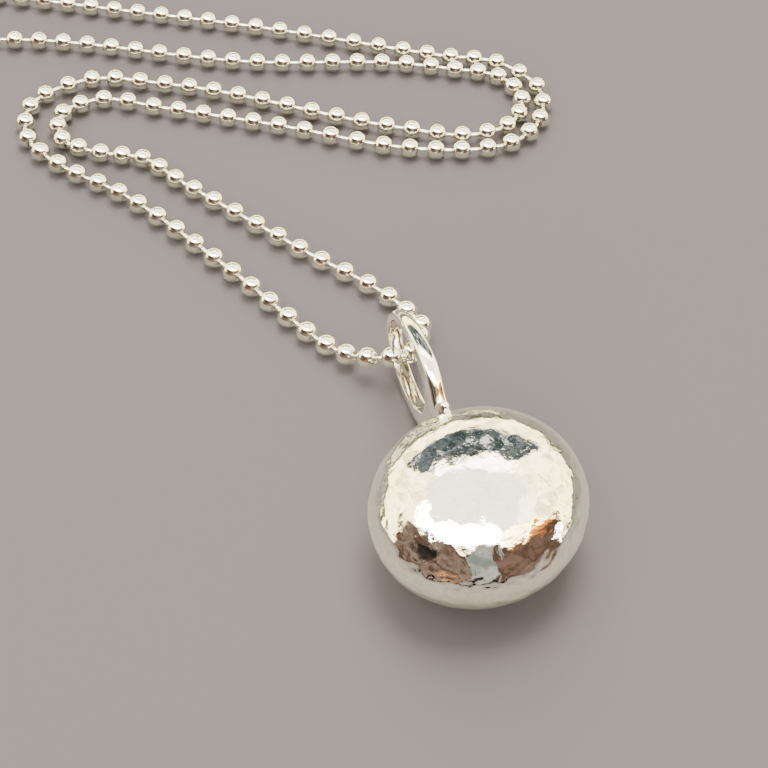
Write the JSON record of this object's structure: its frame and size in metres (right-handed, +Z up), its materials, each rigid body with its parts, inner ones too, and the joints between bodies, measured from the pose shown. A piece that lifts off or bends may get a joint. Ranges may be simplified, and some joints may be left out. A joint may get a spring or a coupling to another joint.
{
  "type": "pebble pendant necklace",
  "caption": "Hammered silver pebble on an upright oval bail, threaded on a fine ball chain that lies folded on a flat surface.",
  "frame": {"origin": "the middle of the small flat under the pebble, on the surface that the necklace lies on", "axes": "+Z up from the surface, +Y from the pebble to its bail, +X to the right of the pebble as the bail points away"},
  "size_m": [0.1051, 0.1138, 0.0098],
  "materials": {
    "hammered_silver": "polished silver, planished with a round hammer",
    "bead_silver": "polished silver",
    "link_silver": "drawn silver wire",
    "clasp_silver": "polished silver"
  },
  "bodies": {
    "root": {"pendant": "hammered_silver", "beads": "bead_silver", "link_wire": "link_silver", "clasp": "clasp_silver"}
  },
  "joints": []
}
